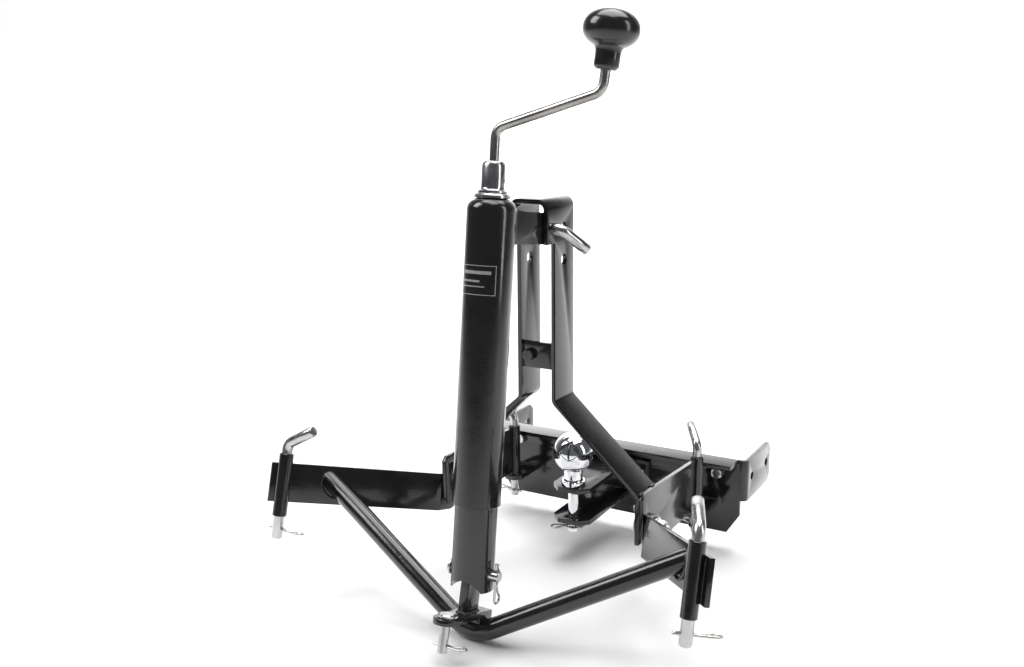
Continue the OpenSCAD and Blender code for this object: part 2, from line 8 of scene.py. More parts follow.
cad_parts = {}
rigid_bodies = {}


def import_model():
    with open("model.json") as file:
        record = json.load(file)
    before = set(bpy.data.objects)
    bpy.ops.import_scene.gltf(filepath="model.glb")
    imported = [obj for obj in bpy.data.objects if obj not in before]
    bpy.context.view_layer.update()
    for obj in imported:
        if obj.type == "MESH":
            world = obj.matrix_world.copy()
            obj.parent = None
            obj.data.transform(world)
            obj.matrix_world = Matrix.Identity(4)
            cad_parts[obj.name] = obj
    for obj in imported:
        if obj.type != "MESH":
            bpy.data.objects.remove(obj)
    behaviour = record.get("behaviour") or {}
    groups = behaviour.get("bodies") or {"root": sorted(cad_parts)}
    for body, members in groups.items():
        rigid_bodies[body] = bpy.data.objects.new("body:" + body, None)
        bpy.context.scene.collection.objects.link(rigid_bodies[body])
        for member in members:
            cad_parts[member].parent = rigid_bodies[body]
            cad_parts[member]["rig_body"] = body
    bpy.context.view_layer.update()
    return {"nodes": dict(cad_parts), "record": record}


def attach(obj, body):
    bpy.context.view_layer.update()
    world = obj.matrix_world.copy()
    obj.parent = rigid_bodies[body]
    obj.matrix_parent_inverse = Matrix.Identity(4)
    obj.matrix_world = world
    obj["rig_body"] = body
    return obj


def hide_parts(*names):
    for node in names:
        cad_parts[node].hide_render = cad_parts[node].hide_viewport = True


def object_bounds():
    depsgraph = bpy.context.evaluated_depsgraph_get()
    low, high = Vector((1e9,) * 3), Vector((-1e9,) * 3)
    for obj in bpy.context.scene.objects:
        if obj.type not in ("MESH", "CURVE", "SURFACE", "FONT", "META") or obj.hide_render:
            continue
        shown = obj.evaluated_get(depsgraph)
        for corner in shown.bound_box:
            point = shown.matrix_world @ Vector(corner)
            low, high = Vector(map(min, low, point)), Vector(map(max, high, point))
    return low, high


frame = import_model()
rng = random.Random(7)
MM = 0.001

def turn(deg, axis):
    return Matrix.Rotation(math.radians(deg), 4, axis)


def moved(x, y, z):
    return Matrix.Translation(Vector((x, y, z)) * MM)


# ------------------------------------------------------------------ sizes in mm, as in the CAD
RAISE, LEAN, SPLAY, GRIP = 15.2, 7.46, 39.0, 5.0    # lifting frame, jack, arms' outer part, knob
PIVOT = (0, -193, 24)                               # side bolts that the lifting frame swings on
JACK_TOP = (0, -304.6, 394)
CRANK_Z1, CRANK_Z2, CRANK_REACH = 70.0, 105.0, 116.0
CRANK_END, CRANK_BEND, KNOB_UP = 52, 13.0, 20
LOWER_PIN = -389.3                                  # down the jack's axis from its top
TUBE_R, TUBE_BORE = 25.5, 22.75
MAST_PIN = (0, -219, 354)
BALL_Y, TONGUE_Y = -123.3, -194
REAR_X, REAR_Y = 130, -44.75
ARM_X = 136.0
SIN, COS = math.sin(math.radians(SPLAY)), math.cos(math.radians(SPLAY))
SLEEVE_X = ARM_X + 192 * SIN - 10.8 * COS
SLEEVE_Y = -23 - 192 * COS - 10.8 * SIN
PIN_R, REAR_R, WIRE = 6.35, 5.55, 1.25
JACK = moved(*JACK_TOP) @ turn(-LEAN, "X")
FRAME = moved(*PIVOT) @ turn(-RAISE, "X")
KNOB = JACK @ moved(CRANK_REACH, 0, CRANK_Z2) @ turn(GRIP, "Y") @ moved(0, 0, KNOB_UP)
ONE = Matrix.Identity(4)
SIDEWAYS = turn(90, "Y")
S = (-1, 1)


# ------------------------------------------------------------------ materials
def material(name):
    m = bpy.data.materials.new(name)
    m.use_nodes = True
    t = m.node_tree
    t.nodes.clear()
    out = t.nodes.new("ShaderNodeOutputMaterial")
    b = t.nodes.new("ShaderNodeBsdfPrincipled")
    t.links.new(b.outputs[0], out.inputs[0])
    return m, t, b


def coords(t):
    return t.nodes.new("ShaderNodeTexCoord").outputs["Object"]


def noise(t, vec, scale, detail=3.0, rough=0.5, stretch=None):
    if stretch:
        mp = t.nodes.new("ShaderNodeMapping")
        mp.inputs["Scale"].default_value = stretch
        t.links.new(vec, mp.inputs["Vector"])
        vec = mp.outputs[0]
    n = t.nodes.new("ShaderNodeTexNoise")
    n.inputs["Scale"].default_value = scale
    n.inputs["Detail"].default_value = detail
    n.inputs["Roughness"].default_value = rough
    t.links.new(vec, n.inputs["Vector"])
    return n.outputs["Fac"]


def ramp(t, fac, lo, hi, out_lo=0.0, out_hi=1.0):
    r = t.nodes.new("ShaderNodeMapRange")
    r.inputs["From Min"].default_value = lo
    r.inputs["From Max"].default_value = hi
    r.inputs["To Min"].default_value = out_lo
    r.inputs["To Max"].default_value = out_hi
    t.links.new(fac, r.inputs["Value"])
    return r.outputs["Result"]


def math_node(t, op, a, b):
    n = t.nodes.new("ShaderNodeMath")
    n.operation = op
    for i, v in enumerate((a, b)):
        if isinstance(v, (int, float)):
            n.inputs[i].default_value = v
        else:
            t.links.new(v, n.inputs[i])
    return n.outputs[0]


def mix_colour(t, fac, a, b):
    n = t.nodes.new("ShaderNodeMix")
    n.data_type = "RGBA"
    for sock, v in ((n.inputs["Factor"], fac), (n.inputs[6], a), (n.inputs[7], b)):
        if isinstance(v, (int, float)):
            sock.default_value = v
        elif isinstance(v, tuple):
            sock.default_value = (*v, 1.0)
        else:
            t.links.new(v, sock)
    return n.outputs[2]


def bump(t, b, height, distance, strength=1.0, before=None):
    n = t.nodes.new("ShaderNodeBump")
    n.inputs["Distance"].default_value = distance
    n.inputs["Strength"].default_value = strength
    t.links.new(height, n.inputs["Height"])
    if before is not None:
        t.links.new(before, n.inputs["Normal"])
    if b is not None:
        t.links.new(n.outputs[0], b.inputs["Normal"])
    return n.outputs[0]


def edge_mask(t, radius):
    # 1 near a sharp edge, 0 on the flat: how far a rounded normal turns from the true one
    bev = t.nodes.new("ShaderNodeBevel")
    bev.samples = 4
    bev.inputs["Radius"].default_value = radius
    geo = t.nodes.new("ShaderNodeNewGeometry")
    dot = t.nodes.new("ShaderNodeVectorMath")
    dot.operation = "DOT_PRODUCT"
    t.links.new(bev.outputs[0], dot.inputs[0])
    t.links.new(geo.outputs["Normal"], dot.inputs[1])
    return ramp(t, dot.outputs["Value"], 0.98, 0.80)


def up_mask(t):
    geo = t.nodes.new("ShaderNodeNewGeometry")
    sep = t.nodes.new("ShaderNodeSeparateXYZ")
    t.links.new(geo.outputs["Normal"], sep.inputs[0])
    return ramp(t, sep.outputs[2], 0.25, 0.95)


def paint(name):
    """Gloss black paint: a little dust on what faces up, and wear along the edges."""
    m, t, b = material(name)
    v = coords(t)
    cloud = noise(t, v, 14, 4, 0.6)
    fine = noise(t, v, 260, 3, 0.6)
    dust = math_node(t, "MULTIPLY", up_mask(t), ramp(t, cloud, 0.40, 0.72))
    dust = math_node(t, "MULTIPLY", dust, ramp(t, fine, 0.38, 0.62))
    edge = math_node(t, "MULTIPLY", edge_mask(t, 0.0006), ramp(t, noise(t, v, 90, 4, 0.65), 0.52, 0.66))
    base = mix_colour(t, ramp(t, cloud, 0.3, 0.7), (0.0075, 0.0075, 0.0085), (0.0125, 0.0125, 0.0135))
    base = mix_colour(t, math_node(t, "MULTIPLY", dust, 0.055), base, (0.30, 0.29, 0.27))
    base = mix_colour(t, math_node(t, "MULTIPLY", edge, 0.55), base, (0.16, 0.155, 0.15))
    t.links.new(base, b.inputs["Base Color"])
    rough = ramp(t, noise(t, v, 34, 5, 0.62), 0.30, 0.72, 0.10, 0.24)
    rough = math_node(t, "ADD", rough, math_node(t, "MULTIPLY", dust, 0.22))
    t.links.new(math_node(t, "ADD", rough, math_node(t, "MULTIPLY", edge, 0.15)), b.inputs["Roughness"])
    b.inputs["Coat Weight"].default_value = 0.4
    b.inputs["Coat Roughness"].default_value = 0.07
    b.inputs["Specular IOR Level"].default_value = 0.5
    peel = bump(t, None, noise(t, v, 420, 2, 0.45), 0.00010, 0.55)
    wave = bump(t, None, noise(t, v, 45, 2, 0.4), 0.0007, 0.30, peel)
    grit = t.nodes.new("ShaderNodeTexVoronoi")
    grit.inputs["Scale"].default_value = 700
    t.links.new(v, grit.inputs["Vector"])
    nib = ramp(t, grit.outputs["Distance"], 0.0, 0.16, 1.0, 0.0)
    nib = math_node(t, "MULTIPLY", nib, ramp(t, fine, 0.60, 0.70))
    bump(t, b, nib, 0.00012, 0.5, wave)
    t.links.new(wave, b.inputs["Coat Normal"])
    return m


def metal(name, dark, light, rough, scale, scratch, scratch_scale, stain=None, peel=0.00005):
    """Bare or plated metal between two tones, with fine scratches drawn out along one way."""
    m, t, b = material(name)
    v = coords(t)
    cloud = noise(t, v, scale, 5, 0.62)
    col = mix_colour(t, ramp(t, cloud, 0.3, 0.7), dark, light)
    if stain:
        spots = ramp(t, noise(t, v, 75, 5, 0.7), 0.60, 0.72)
        col = mix_colour(t, math_node(t, "MULTIPLY", spots, 0.6), col, stain)
    t.links.new(col, b.inputs["Base Color"])
    b.inputs["Metallic"].default_value = 1.0
    hair = noise(t, v, scratch_scale, 4, 0.7, scratch)
    r = ramp(t, cloud, 0.3, 0.7, rough[0], rough[1])
    r = math_node(t, "ADD", r, ramp(t, hair, 0.35, 0.75, -0.04, 0.08))
    t.links.new(r, b.inputs["Roughness"])
    n1 = bump(t, None, hair, peel, 0.6)
    bump(t, b, noise(t, v, 130, 3, 0.5), peel * 2, 0.5, n1)
    return m


def plastic(name):
    m, t, b = material(name)
    v = coords(t)
    cloud = noise(t, v, 60, 4, 0.6)
    t.links.new(mix_colour(t, ramp(t, cloud, 0.3, 0.7), (0.010, 0.010, 0.011), (0.017, 0.017, 0.018)),
                b.inputs["Base Color"])
    t.links.new(ramp(t, noise(t, v, 150, 5, 0.65), 0.3, 0.75, 0.13, 0.30), b.inputs["Roughness"])
    b.inputs["Coat Weight"].default_value = 0.35
    b.inputs["Coat Roughness"].default_value = 0.10
    p = bump(t, None, noise(t, v, 320, 2, 0.5), 0.00007, 0.5)
    bump(t, b, noise(t, v, 1500, 2, 0.5), 0.00003, 0.35, p)
    return m


MAT = {
    "black_paint": paint("gloss_black_paint"),
    "zinc_plate": metal("bright_zinc", (0.42, 0.43, 0.45), (0.60, 0.60, 0.59), (0.16, 0.30), 40,
                        (1, 1, 0.15), 260, (0.42, 0.40, 0.33)),
    "chrome_ball": metal("chrome", (0.80, 0.81, 0.83), (0.86, 0.87, 0.89), (0.03, 0.075), 22,
                         (1, 1, 0.4), 120, None, 0.000008),
    "knob_black": plastic("knob_plastic"),
    "crank_steel": metal("drawn_bar", (0.26, 0.25, 0.24), (0.44, 0.43, 0.41), (0.16, 0.30), 26,
                         (0.12, 0.12, 0.12), 900, (0.20, 0.16, 0.12)),
    "plain_steel": metal("oiled_steel", (0.20, 0.19, 0.18), (0.36, 0.35, 0.33), (0.26, 0.42), 50,
                         (1, 1, 0.1), 400, (0.16, 0.11, 0.07)),
    "spring_wire": metal("zinc_wire", (0.52, 0.52, 0.50), (0.70, 0.70, 0.67), (0.18, 0.30), 60,
                         (0.3, 0.3, 0.3), 500),
}
RECORD_SLOT = {s["node"]: s["material_slot"] for s in frame["record"]["subparts"]}
BODY_OF = {n: o["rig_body"] for n, o in frame["nodes"].items()}


# ------------------------------------------------------------------ mesh helpers
def finish_mesh(name, bm, mat, body, nodes=(), smooth=32):
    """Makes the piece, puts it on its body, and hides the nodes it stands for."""
    bmesh.ops.recalc_face_normals(bm, faces=bm.faces)
    limit = math.radians(smooth)
    for f in bm.faces:
        f.smooth = True
    for e in bm.edges:
        if len(e.link_faces) == 2 and e.calc_face_angle(0) > limit:
            e.smooth = False
    me = bpy.data.meshes.new(name)
    bm.to_mesh(me)
    bm.free()
    o = bpy.data.objects.new(name, me)
    bpy.context.scene.collection.objects.link(o)
    me.materials.append(MAT[mat] if isinstance(mat, str) else mat)
    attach(o, body)
    if nodes:
        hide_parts(*nodes)
    return o


def refined(node, width, angle=25, weld=0.002):
    """A CAD node's own shape with its flats made whole and its edges rounded."""
    src = frame["nodes"][node]
    bm = bmesh.new()
    bm.from_mesh(src.data)
    bmesh.ops.remove_doubles(bm, verts=bm.verts, dist=weld * MM)
    bmesh.ops.dissolve_limit(bm, angle_limit=math.radians(0.4), verts=bm.verts, edges=bm.edges)
    limit = math.radians(angle)
    sharp = [e for e in bm.edges if len(e.link_faces) == 2 and e.calc_face_angle(0) > limit]
    bmesh.ops.bevel(bm, geom=sharp, offset=width * MM, segments=2, profile=0.6,
                    affect="EDGES", clamp_overlap=True, loop_slide=True)
    return finish_mesh("v_" + node, bm, RECORD_SLOT[node], BODY_OF[node], (node,), smooth=angle + 8)


def ring_faces(bm, a, b, closed=True):
    n = len(a)
    for i in range(n if closed else n - 1):
        bm.faces.new((a[i], a[(i + 1) % n], b[(i + 1) % n], b[i]))


def lathe(bm, profile, place, seg=64, close=False):
    """Turns a profile of (radius, height) in mm about the local Z."""
    rings = []
    for r, z in profile:
        if r < 1e-6:
            rings.append([bm.verts.new(place @ Vector((0, 0, z * MM)))])
        else:
            rings.append([bm.verts.new(place @ Vector((r * MM * math.cos(2 * math.pi * i / seg),
                                                       r * MM * math.sin(2 * math.pi * i / seg), z * MM)))
                          for i in range(seg)])
    pairs = list(zip(rings, rings[1:]))
    if close:
        pairs.append((rings[-1], rings[0]))
    for a, b in pairs:
        if len(a) == 1 and len(b) == 1:
            continue
        if len(a) == 1:
            for i in range(seg):
                bm.faces.new((a[0], b[i], b[(i + 1) % seg]))
        elif len(b) == 1:
            for i in range(seg):
                bm.faces.new((a[i], a[(i + 1) % seg], b[0]))
        else:
            ring_faces(bm, a, b)


def arc(cx, cz, r, a0, a1, n=8):
    return [(cx + r * math.cos(math.radians(a0 + (a1 - a0) * i / n)),
             cz + r * math.sin(math.radians(a0 + (a1 - a0) * i / n))) for i in range(n + 1)]


def tube(bm, pts, radius, seg, closed=False):
    """A tube along points in metres; radius in metres, or one for each point."""
    n = len(pts)
    tang = []
    for i in range(n):
        a = pts[(i - 1) % n] if closed or i else pts[0]
        b = pts[(i + 1) % n] if closed or i < n - 1 else pts[-1]
        tang.append((b - a).normalized())
    ref = Vector((0, 0, 1)) if abs(tang[0].z) < 0.9 else Vector((1, 0, 0))
    nrm = (ref - tang[0] * ref.dot(tang[0])).normalized()
    rings = []
    for i in range(n):
        nrm = (nrm - tang[i] * nrm.dot(tang[i])).normalized()
        side = tang[i].cross(nrm)
        r = radius[i] if isinstance(radius, (list, tuple)) else radius
        rings.append([bm.verts.new(pts[i] + nrm * r * math.cos(2 * math.pi * k / seg)
                                   + side * r * math.sin(2 * math.pi * k / seg))
                      for k in range(seg)])
    for a, b in zip(rings, rings[1:]):
        ring_faces(bm, a, b)
    if closed:
        # the frame may have turned on the way round, so each corner joins the nearest one
        first, last = rings[0], rings[-1]
        best = min(range(seg), key=lambda k: (first[k].co - last[0].co).length)
        ring_faces(bm, last, first[best:] + first[:best])
    else:
        bm.faces.new(list(reversed(rings[0])))
        bm.faces.new(rings[-1])


def smooth_path(ctrl, step):
    """Catmull-Rom through points in mm, sampled about every step mm."""
    pts = [Vector(c) for c in ctrl]
    p = [pts[0] * 2 - pts[1]] + pts + [pts[-1] * 2 - pts[-2]]
    out = []
    for i in range(1, len(p) - 2):
        n = max(2, int((p[i + 1] - p[i]).length / step))
        for k in range(n):
            u = k / n
            out.append(0.5 * ((2 * p[i]) + (-p[i - 1] + p[i + 1]) * u
                              + (2 * p[i - 1] - 5 * p[i] + 4 * p[i + 1] - p[i + 2]) * u * u
                              + (-p[i - 1] + 3 * p[i] - 3 * p[i + 1] + p[i + 2]) * u ** 3))
    out.append(p[-2])
    return out


# ------------------------------------------------------------------ fasteners
def hex_r(af, th):
    k = (math.degrees(th) + 30) % 60 - 30
    return af / 2 / math.cos(math.radians(k))


def hex_block(bm, af, h, hole, place, chamfer_low=False, seg=72):
    """A hexagon with turned corners, with or without a hole, standing on z = 0."""
    th = [2 * math.pi * i / seg for i in range(seg)]

    def ring(rs, zs):
        return [bm.verts.new(place @ Vector((r * MM * math.cos(a), r * MM * math.sin(a), z * MM)))
                for a, r, z in zip(th, rs, zs)]

    big = [hex_r(af, a) for a in th]
    drop = [(r - af / 2 * 0.985) * 0.56 for r in big]
    low = [d if chamfer_low else 0 for d in drop]
    flat = af / 2 * 0.93
    bottom_in = ring([max(hole, 0.1)] * seg, [0.7 * (hole > 0)] * seg)
    bottom_cs = ring([hole + 0.7 if hole else flat * 0.5] * seg, [0] * seg)
    bottom_flat = ring([flat] * seg, [0] * seg)
    side_low = ring(big, low)
    side_top = ring(big, [h - d for d in drop])
    top_flat = ring([flat] * seg, [h] * seg)
    top_cs = ring([hole + 0.7 if hole else flat * 0.5] * seg, [h - (0 if hole else 0.15)] * seg)
    top_in = ring([max(hole, 0.1)] * seg, [h - 0.7 if hole else h - 0.2] * seg)
    rings = [bottom_in, bottom_cs, bottom_flat, side_low, side_top, top_flat, top_cs, top_in]
    for a, b in zip(rings, rings[1:]):
        ring_faces(bm, a, b)
    if hole:
        ring_faces(bm, top_in, bottom_in)
    else:
        bm.faces.new(top_in)
        bm.faces.new(list(reversed(bottom_in)))


def thread(bm, r, pitch, z0, z1, place, seg, depth, per=6):
    """A right-hand thread from z0 up to z1, closed at both ends."""
    rows = max(3, int((z1 - z0) / pitch * per))
    prev = None
    for j in range(rows + 1):
        z = z0 + (z1 - z0) * j / rows
        row = []
        for i in range(seg):
            a = 2 * math.pi * i / seg
            u = (z / pitch - a / (2 * math.pi)) % 1.0
            cut = abs(2 * u - 1)
            fade = min(1.0, (j if j < rows - j else rows - j) / per + 0.15)
            end = 0.6 if j in (0, rows) else 0.0
            rr = r - depth * cut * fade - end
            row.append(bm.verts.new(place @ Vector((rr * MM * math.cos(a), rr * MM * math.sin(a), z * MM))))
        if prev:
            ring_faces(bm, prev, row)
        else:
            bm.faces.new(list(reversed(row)))
        prev = row
    bm.faces.new(prev)


def fastener(bm, r, af, head, length, pitch, place):
    """Bolt standing on z = 0 with its shank below."""
    hex_block(bm, af, head, 0, place)
    grip = length * 0.45
    lathe(bm, [(0, 0.02), (r, 0.02), (r, -grip), (r - 0.5, -grip - 0.4), (0, -grip - 0.4)], place, 28)
    thread(bm, r, pitch, -length, -grip, place, 28, depth=pitch * 0.42)


def axis_place(pos, direction):
    z = Vector(direction).normalized()
    q = z.to_track_quat("Z", "Y").to_matrix().to_4x4()
    return Matrix.Translation(Vector(pos) * MM) @ q


def bolt_group(name, node, places, r, af, head, length, pitch, kind, mat="zinc_plate"):
    bm = bmesh.new()
    for pos, d in places:
        pl = axis_place(pos, d)
        if kind == "bolt":
            fastener(bm, r, af, head, length, pitch, pl)
        else:
            hex_block(bm, af, head, r + 0.05, pl, chamfer_low=True)
    return finish_mesh(name, bm, mat, BODY_OF[node], (node,), smooth=28)


M8 = (4, 13)                    # thread radius and width over the flats
M12 = (6, 18)
BEAM = [(s * 143, 28) for s in S]
BRACKET = [(s * 40, z) for s in S for z in (-38, 13)]
BRACE = (-10, 210)
BACK, FRONT = (0, -1, 0), (0, 1, 0)
bolt_group("v_beam_bolts", "beam_bolts", [((x, -5, z), BACK) for x, z in BEAM],
           *M8, 5.3, 16, 1.25, "bolt")
bolt_group("v_beam_nuts", "beam_nuts", [((x, 0, z), FRONT) for x, z in BEAM],
           *M8, 6.5, 0, 1.25, "nut")
bolt_group("v_brace_bolt", "brace_bolt", [((BRACE[0], -213, BRACE[1]), BACK)],
           *M8, 5.3, 16, 1.25, "bolt", "black_paint")
bolt_group("v_brace_nut", "brace_nut", [((BRACE[0], -208, BRACE[1]), FRONT)],
           *M8, 6.5, 0, 1.25, "nut")
bolt_group("v_bracket_bolts", "bracket_bolts", [((x, -11, z), BACK) for x, z in BRACKET],
           *M8, 5.3, 22, 1.25, "bolt")
bolt_group("v_bracket_nuts", "bracket_nuts", [((x, 0, z), FRONT) for x, z in BRACKET],
           *M8, 6.5, 0, 1.25, "nut")
bolt_group("v_pivot_bolts", "pivot_bolts", [((s * 122.5, *PIVOT[1:]), (-s, 0, 0)) for s in S],
           *M12, 7.5, 31, 1.75, "bolt")
bolt_group("v_pivot_nuts", "pivot_nuts", [((s * 140.8, *PIVOT[1:]), (s, 0, 0)) for s in S],
           *M12, 9, 0, 1.75, "nut")
refined("pivot_washers", 0.25)


# ------------------------------------------------------------------ plates and welded frame pieces
BENT = ("mast_hoop", "mast_brace", "arm_left", "arm_right", "v_tube")
for n, w in (("mower_beam", 0.7), ("pin_tabs", 0.6), ("side_plate_left", 0.6), ("side_plate_right", 0.6),
             ("mast_hoop", 0.6), ("mast_brace", 0.5), ("ball_bracket", 0.7), ("arm_left", 0.6),
             ("arm_right", 0.6), ("jack_lug", 0.8), ("tongue_plate", 0.9), ("jack_mount_lug", 0.6),
             ("v_tube", 0.3), ("jack_nut", 0.4), ("thrust_bearing", 0.3)):
    refined(n, w, weld=0.09 if n in BENT else 0.002)


def sleeve_mesh(name, node, r, hole, h, place):
    bm = bmesh.new()
    c = 0.7
    lathe(bm, [(hole + 0.4, 0), (r - c, 0), (r, c), (r, h - c), (r - c, h), (hole + 0.4, h),
               (hole, h - 0.4), (hole, 0.4)], place, 56, close=True)
    return finish_mesh(name, bm, "black_paint", BODY_OF[node], (node,))


for s, side in ((-1, "left"), (1, "right")):
    sleeve_mesh("v_front_sleeve_" + side, "front_sleeve_" + side, 8.3, PIN_R + 0.09, 72,
                FRAME @ moved(s * SLEEVE_X, SLEEVE_Y, -45))
    sleeve_mesh("v_rear_sleeve_" + side, "rear_sleeve_" + side, 7.75, REAR_R + 0.09, 68,
                moved(s * REAR_X, REAR_Y, -8))


# ------------------------------------------------------------------ bent pins
def pin_path(r, low, bend_z, a, head):
    rb = 2.1 * r
    a = math.radians(a)
    pts = [Vector((0, 0, z)) for z in (low, low + 0.5, low + 2, (low + bend_z) / 2)]
    for i in range(17):
        k = a * i / 16
        pts.append(Vector((rb - rb * math.cos(k), 0, bend_z + rb * math.sin(k))))
    d = Vector((math.sin(a), 0, math.cos(a)))
    end = pts[-1]
    for l in (head * 0.5, head - 1.6, head - 0.4, head):
        pts.append(end + d * l)
    rad = [r - 1.7, r - 1.1, r, r] + [r] * 17 + [r, r, r - 0.9, r - 1.8]
    return [p * MM for p in pts], [q * MM for q in rad]


def bent_pin(name, node, r, low, bend_z, a, head, place):
    bm = bmesh.new()
    pts, rad = pin_path(r, low, bend_z, a, head)
    tube(bm, pts, rad, 36)
    bm.transform(place)
    return finish_mesh(name, bm, "zinc_plate", BODY_OF[node], (node,), smooth=40)


def spin(deg):
    return turn(deg, "Z")


def clip_mesh(name, node, r, l, place):
    """A spring clip in its own XY plane: one leg through the pin, the other sprung over it."""
    q = 4.9
    loop = [(l + q * math.cos(math.radians(a)), q + q * math.sin(math.radians(a)), 0)
            for a in range(-90, 121, 15)]
    ctrl = [(-r - 7.5, 0, 0), (-r, 0, 0), (0, 0, 0), (l * 0.55, 0, 0)] + loop
    ctrl += [(l - 7.5, 5.6, 0), (r + 5.0, 3.3, 0), (r + 2.3, 4.2, 0)]
    ctrl += [((r + 1.45) * math.cos(math.radians(a)), (r + 1.45) * math.sin(math.radians(a)), 0)
             for a in (52, 72, 92, 112, 130)]
    ctrl += [(-r - 3.4, r * 0.62, 0), (-r - 5.8, r * 0.86, 0)]
    bm = bmesh.new()
    pts = [p * MM for p in smooth_path(ctrl, 0.6)]
    n = len(pts)
    rad = [WIRE * MM * (0.72 if i in (0, n - 1) else 1.0) for i in range(n)]
    tube(bm, pts, rad, 12)
    bm.transform(place)
    return finish_mesh(name, bm, "spring_wire", BODY_OF[node], (node,), smooth=50)


def at(mat, x, y, z):
    return mat @ moved(x, y, z)


for s, side, a in ((-1, "left", 165), (1, "right", 127)):
    base = at(ONE, s * REAR_X, REAR_Y, 0) @ spin(a)
    bent_pin("v_rear_pin_" + side, "rear_pin_" + side, REAR_R, -40, 66, 62, 32, base)
    clip_mesh("v_rear_clip_" + side, "rear_clip_" + side, REAR_R, 23, at(base, 0, 0, -32))
for s, side, a, clip_a in ((-1, "left", -6, -6), (1, "right", 116, 34)):
    base = at(FRAME, s * SLEEVE_X, SLEEVE_Y, 0)
    bent_pin("v_front_pin_" + side, "front_pin_" + side, PIN_R, -71, 30, 62, 36, base @ spin(a))
    clip_mesh("v_front_clip_" + side, "front_clip_" + side, PIN_R, 30, at(base, 0, 0, -60) @ spin(clip_a))
base = at(ONE, *MAST_PIN) @ SIDEWAYS @ spin(46)
bent_pin("v_mast_pin", "mast_pin", PIN_R, -46, 26, 62, 32, base)
clip_mesh("v_mast_clip", "mast_clip", PIN_R, 24, at(base, 0, 0, -38))
clip_mesh("v_ball_clip", "ball_clip", PIN_R, 22, at(ONE, 0, BALL_Y, -29) @ spin(200))
clip_mesh("v_tongue_clip", "tongue_clip", 5, 20, at(FRAME, 0, TONGUE_Y, -130))
clip_mesh("v_clevis_clip", "clevis_clip", 6, 26, at(JACK, 28, 0, LOWER_PIN) @ SIDEWAYS)

bm = bmesh.new()
lathe(bm, [(0, -137), (4.2, -137), (5, -136.2), (5, -101.2), (5, -100.9), (8.5, -100.9),
           (9, -100.4), (9, -98), (7.6, -96.9), (0, -96.9)], at(FRAME, 0, TONGUE_Y, 0), 40)
finish_mesh("v_tongue_pin", bm, "zinc_plate", BODY_OF["tongue_pin"], ("tongue_pin",))
bm = bmesh.new()
lathe(bm, [(0, -27.2), (7.8, -27.2), (9, -26), (9, -24.2), (8.6, -23.7), (6, -23.7),
           (6, 31.8), (4.8, 33), (0, 33)], at(JACK, 0, 0, LOWER_PIN) @ SIDEWAYS, 40)
finish_mesh("v_clevis_pin", bm, "zinc_plate", BODY_OF["clevis_pin"], ("clevis_pin",))

# ------------------------------------------------------------------ tow ball
bm = bmesh.new()
zc, R = 67.4, 25.0
prof = [(0, -36), (5.3, -36), (6.35, -35), (6.35, 25.9), (14.2, 26), (15, 26.8), (15, 31.2), (14.2, 32),
        (12.3, 32.1)] + arc(14.0, 34.5, 2.5, 200, 180, 3) + [(11.5, 36), (11.5, 40), (11.9, 43.6)]
a0 = math.degrees(math.acos(12.4 / R))
prof += [(R * math.cos(math.radians(a)), zc + R * math.sin(math.radians(a)))
         for a in [-a0 + (a0 + 66.2) * i / 34 for i in range(35)]]
prof += [(9.2, zc + 23.0), (0, zc + 23.0)]
lathe(bm, prof, at(ONE, 0, BALL_Y, 0), 96)
finish_mesh("v_tow_ball", bm, "chrome_ball", BODY_OF["tow_ball"], ("tow_ball",), smooth=40)

# ------------------------------------------------------------------ jack
bm = bmesh.new()
ro, ri = TUBE_R, TUBE_BORE
prof = ([(ri, -316.4), (ri + 0.6, -317), (ro - 0.6, -317), (ro, -316.4), (ro, -150)]
        + arc(ro - 12, -12, 12, 0, 90, 14) + [(10.6, 0), (10.3, -0.3), (10.3, -17), (ri, -17)])
lathe(bm, prof, JACK, 112, close=True)
finish_mesh("v_jack_outer_tube", bm, "black_paint", BODY_OF["jack_outer_tube"],
            ("jack_outer_tube",), smooth=35)
refined("jack_inner_tube", 0.35, angle=30)
bm = bmesh.new()
lathe(bm, [(10.5, 0.02), (18.2, 0.02), (18.7, 0.5), (18.7, 3.0), (17.6, 4.5), (16.8, 4.85),
           (10.5, 4.85)], JACK, 72, close=True)
finish_mesh("v_jack_collar", bm, "zinc_plate", BODY_OF["jack_collar"], ("jack_collar",))
bm = bmesh.new()
lathe(bm, [(9.1, 5.15), (15.0, 5.15), (15.5, 5.6), (15.5, 7.4)] + arc(16.2, 11.2, 4.0, 248, 182, 6)
      + [(12.2, 13), (12.2, 32.6), (11.4, 35.2), (9.8, 36.9), (5.6, 37.0), (5.05, 36.4),
         (5.05, 12.05), (9.1, 12.0)], JACK, 72, close=True)
finish_mesh("v_jack_hub", bm, "zinc_plate", BODY_OF["jack_hub"], ("jack_hub",))
bm = bmesh.new()
pl = at(JACK, -12.6, 0, 18) @ SIDEWAYS
lathe(bm, [(1.4, 0), (2.2, 0), (2.5, 0.4), (2.5, 24.8), (2.2, 25.2), (1.4, 25.2)], pl, 28, close=True)
finish_mesh("v_hub_pin", bm, "plain_steel", BODY_OF["hub_pin"], ("hub_pin",))
bm = bmesh.new()
lathe(bm, [(0, -28.2), (14, -28.2), (14, -33.9), (9, -34), (0, -34)], JACK, 40)
lathe(bm, [(0, 12), (8.9, 12), (8.9, -29), (0, -29)], JACK, 40)
thread(bm, 9, 6, -330, -34, JACK, 40, depth=1.6, per=8)
finish_mesh("v_jack_screw", bm, "plain_steel", BODY_OF["jack_screw"], ("jack_screw",), smooth=50)

